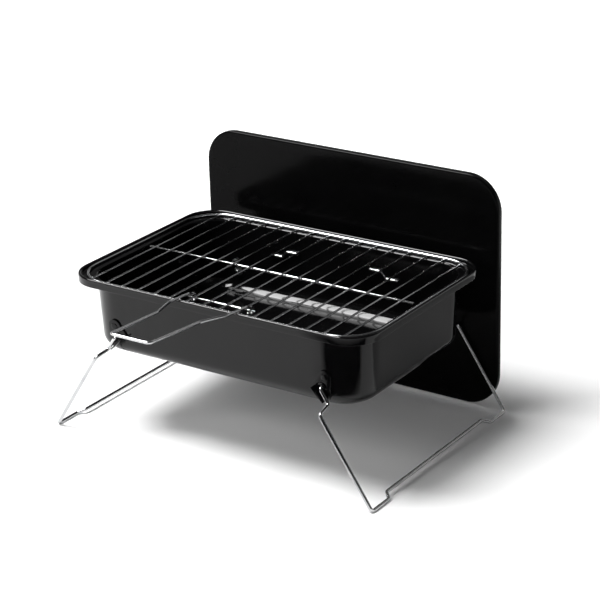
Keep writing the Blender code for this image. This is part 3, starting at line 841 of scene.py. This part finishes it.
def stage_plane(name, size, location, rotation, colour):
    """Matt rectangle that belongs to the studio; returns it with its material's nodes and links."""
    bm = bmesh.new()
    bmesh.ops.create_grid(bm, x_segments=1, y_segments=1, size=0.5)
    bm.transform(Matrix.Diagonal((size[0], size[1], 1.0, 1.0)))
    mesh = bpy.data.meshes.new(name)
    bm.to_mesh(mesh)
    bm.free()
    plane = bpy.data.objects.new(name, mesh)
    plane.location = location
    plane.rotation_euler = rotation
    material, nodes, links, shader = new_material(name)
    shader.inputs["Base Color"].default_value = (*colour, 1.0)
    shader.inputs["Roughness"].default_value = 1.0
    shader.inputs["Specular IOR Level"].default_value = 0.0
    mesh.materials.append(material)
    bpy.context.scene.collection.objects.link(plane)
    return plane, nodes, links


def soft_box(name, size, direction, distance, power, lights_matt, is_mirrored):
    """Rectangular soft light that faces its target; it lights matt surfaces, is seen mirrored, or both."""
    light = bpy.data.lights.new(name, 'AREA')
    light.shape = 'RECTANGLE'
    light.size, light.size_y = size
    light.energy = power
    lamp = bpy.data.objects.new(name, light)
    toward = Vector(direction).normalized()
    lamp.location = LIGHT_TARGET + toward * distance
    lamp.rotation_euler = (-toward).to_track_quat('-Z', 'Y').to_euler()
    lamp.visible_diffuse = lights_matt
    lamp.visible_glossy = is_mirrored
    bpy.context.scene.collection.objects.link(lamp)


def dark_card(name, size, location, rotation, grey, fade):
    """Black or grey card with faded edges that only reflections see."""
    card, nodes, links = stage_plane(name, size, location, rotation, (grey, grey, grey))
    card.visible_camera = False
    card.visible_diffuse = False
    card.visible_shadow = False
    card.visible_transmission = False
    split = nodes.new("ShaderNodeSeparateXYZ")
    links.new(nodes.new("ShaderNodeTexCoord").outputs["Object"], split.inputs["Vector"])
    cover = nodes.new("ShaderNodeMath")
    cover.operation = 'MULTIPLY'
    for index, (axis, length) in enumerate(zip("XY", size)):
        away = nodes.new("ShaderNodeMath")
        away.operation = 'ABSOLUTE'
        links.new(split.outputs[axis], away.inputs[0])
        half = length / 2.0
        edge = ranged(nodes, links, away.outputs["Value"], 1.0, 0.0, start=half - fade, end=half)
        links.new(edge, cover.inputs[index])
    links.new(cover.outputs["Value"], nodes["Principled BSDF"].inputs["Alpha"])


def make_floor():
    """White floor that glows a little away from the grill, so that it stays white to the horizon."""
    _, nodes, links = stage_plane("floor", (14.0, 14.0), (0.0, 0.0, 0.0), (0.0, 0.0, 0.0), (0.92, 0.92, 0.92))
    coordinates = nodes.new("ShaderNodeTexCoord")
    distance = nodes.new("ShaderNodeVectorMath")
    distance.operation = 'LENGTH'
    links.new(coordinates.outputs["Object"], distance.inputs[0])
    glow = ranged(nodes, links, distance.outputs["Value"], 0.05, 0.60, start=0.42, end=1.05)
    far_glow = ranged(nodes, links, distance.outputs["Value"], 0.0, 0.40, start=1.0, end=3.0)
    total = nodes.new("ShaderNodeMath")
    links.new(glow, total.inputs[0])
    links.new(far_glow, total.inputs[1])
    shader = nodes["Principled BSDF"]
    shader.inputs["Emission Color"].default_value = (1.0, 1.0, 1.0, 1.0)
    links.new(total.outputs["Value"], shader.inputs["Emission Strength"])


def make_world():
    """Bright low round the horizon and dark overhead, like a pale sweep in a dark room."""
    world = bpy.data.worlds.new("studio")
    bpy.context.scene.world = world
    world.use_nodes = True
    nodes, links = world.node_tree.nodes, world.node_tree.links
    coordinates = nodes.new("ShaderNodeTexCoord")
    split = nodes.new("ShaderNodeSeparateXYZ")
    ramp = nodes.new("ShaderNodeValToRGB")
    links.new(coordinates.outputs["Generated"], split.inputs["Vector"])
    links.new(split.outputs["Z"], ramp.inputs["Fac"])
    stops = ((0.0, 1.0), (0.12, 0.95), (0.30, 0.10), (1.0, 0.02))
    while len(ramp.color_ramp.elements) < len(stops):
        ramp.color_ramp.elements.new(0.5)
    for element, (place, value) in zip(ramp.color_ramp.elements, stops):
        element.position = place
        element.color = (value, value, value, 1.0)
    links.new(ramp.outputs["Color"], nodes["Background"].inputs["Color"])
    nodes["Background"].inputs["Strength"].default_value = 1.0


def make_studio():
    """Floor, soft lights, the two cards that only reflections see, and the surroundings."""
    make_floor()
    for name, size, direction, distance, power, lights_matt, is_mirrored in SOFT_BOXES:
        soft_box(name, size, direction, distance, power, lights_matt, is_mirrored)
    left, right = (Vector(point) for point in CORNER_FLAG_ENDS)
    middle = (left + right) / 2.0
    span = right - left
    dark_card("corner_flag", (span.length, CORNER_FLAG_HEIGHT),
              (middle.x, CENTRE_Y + middle.y, 0.001 + CORNER_FLAG_HEIGHT / 2.0),
              (math.pi / 2.0, 0.0, math.atan2(span.y, span.x)), grey=0.0, fade=0.045)
    # Painted shade: a grey card on the floor right of the bowl, seen only in reflections, makes the floor
    # that the right wall mirrors look shaded
    dark_card("right_shade_card", (0.30, 0.46), (0.35, CENTRE_Y + 0.26, 0.002), (0.0, 0.0, 0.0),
              grey=0.34, fade=0.03)
    make_world()
    bpy.context.scene.view_settings.view_transform = 'Standard'


# ---------------------------------------------------------------- camera
CAMERA_ANGLES = (34.40, 21.77, 1.64)         # azimuth, elevation and roll, degrees
CAMERA_AIM = Vector((0.0, CENTRE_Y, 0.100))
CAMERA_DISTANCE = 2.069
CAMERA_SHIFT = (0.02164, 0.02901)            # to the camera's right and up
SENSOR_WIDTH = 36.0
LENS_IN_WIDTHS = 2054.0 / 600.0              # focal length in widths of the picture


def make_camera():
    """Long lens from the right front, slightly rolled, aimed by angles about the bowl's middle."""
    azimuth, elevation, roll = (math.radians(angle) for angle in CAMERA_ANGLES)
    forward = Vector((-math.sin(azimuth) * math.cos(elevation), math.cos(azimuth) * math.cos(elevation),
                      -math.sin(elevation)))
    level = Vector((math.cos(azimuth), math.sin(azimuth), 0.0))
    straight_down = forward.cross(level)
    right = level * math.cos(roll) + straight_down * math.sin(roll)
    down = straight_down * math.cos(roll) - level * math.sin(roll)
    data = bpy.data.cameras.new("camera")
    data.sensor_width = SENSOR_WIDTH
    data.lens = SENSOR_WIDTH * LENS_IN_WIDTHS
    data.clip_start, data.clip_end = 0.05, 60.0
    camera = bpy.data.objects.new("camera", data)
    place = CAMERA_AIM - forward * CAMERA_DISTANCE + right * CAMERA_SHIFT[0] - down * CAMERA_SHIFT[1]
    axes = Matrix((right, -down, -forward)).transposed().to_4x4()
    camera.matrix_world = Matrix.Translation(place) @ axes
    bpy.context.scene.collection.objects.link(camera)
    bpy.context.scene.camera = camera


# ---------------------------------------------------------------- everything
make_camera()
make_studio()
make_bowl()
make_grate()
make_handle()
make_leg(1, "leg_right")
make_leg(-1, "leg_left")
for (corner_x, corner_y), corner_label in CORNERS.items():
    make_corner(corner_x, corner_y, corner_label)
make_clip(1, "right")
make_clip(-1, "left")
make_lid()

bpy.context.view_layer.update()
